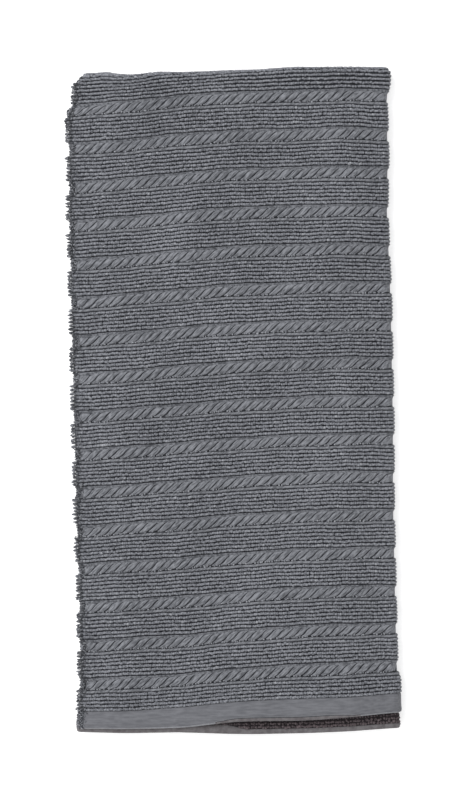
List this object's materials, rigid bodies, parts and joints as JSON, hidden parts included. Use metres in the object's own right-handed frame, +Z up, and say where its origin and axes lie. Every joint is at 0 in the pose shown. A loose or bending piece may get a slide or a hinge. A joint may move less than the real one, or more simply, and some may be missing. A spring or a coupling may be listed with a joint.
{
  "type": "folded kitchen towel",
  "caption": "Grey ribbed cotton kitchen towel with cable-weave bands and a plain hem, folded in half and then in thirds, lying flat.",
  "frame": {"origin": "middle of the underside, on the surface that the towel lies on", "axes": "+X to the towel's right, +Y to its top fold, +Z up out of its face"},
  "size_m": [0.1756, 0.3582, 0.0173],
  "materials": {
    "grey_cotton": "matte looped cotton weave"
  },
  "bodies": {
    "root": {"kitchen_towel": "grey_cotton"}
  },
  "joints": []
}
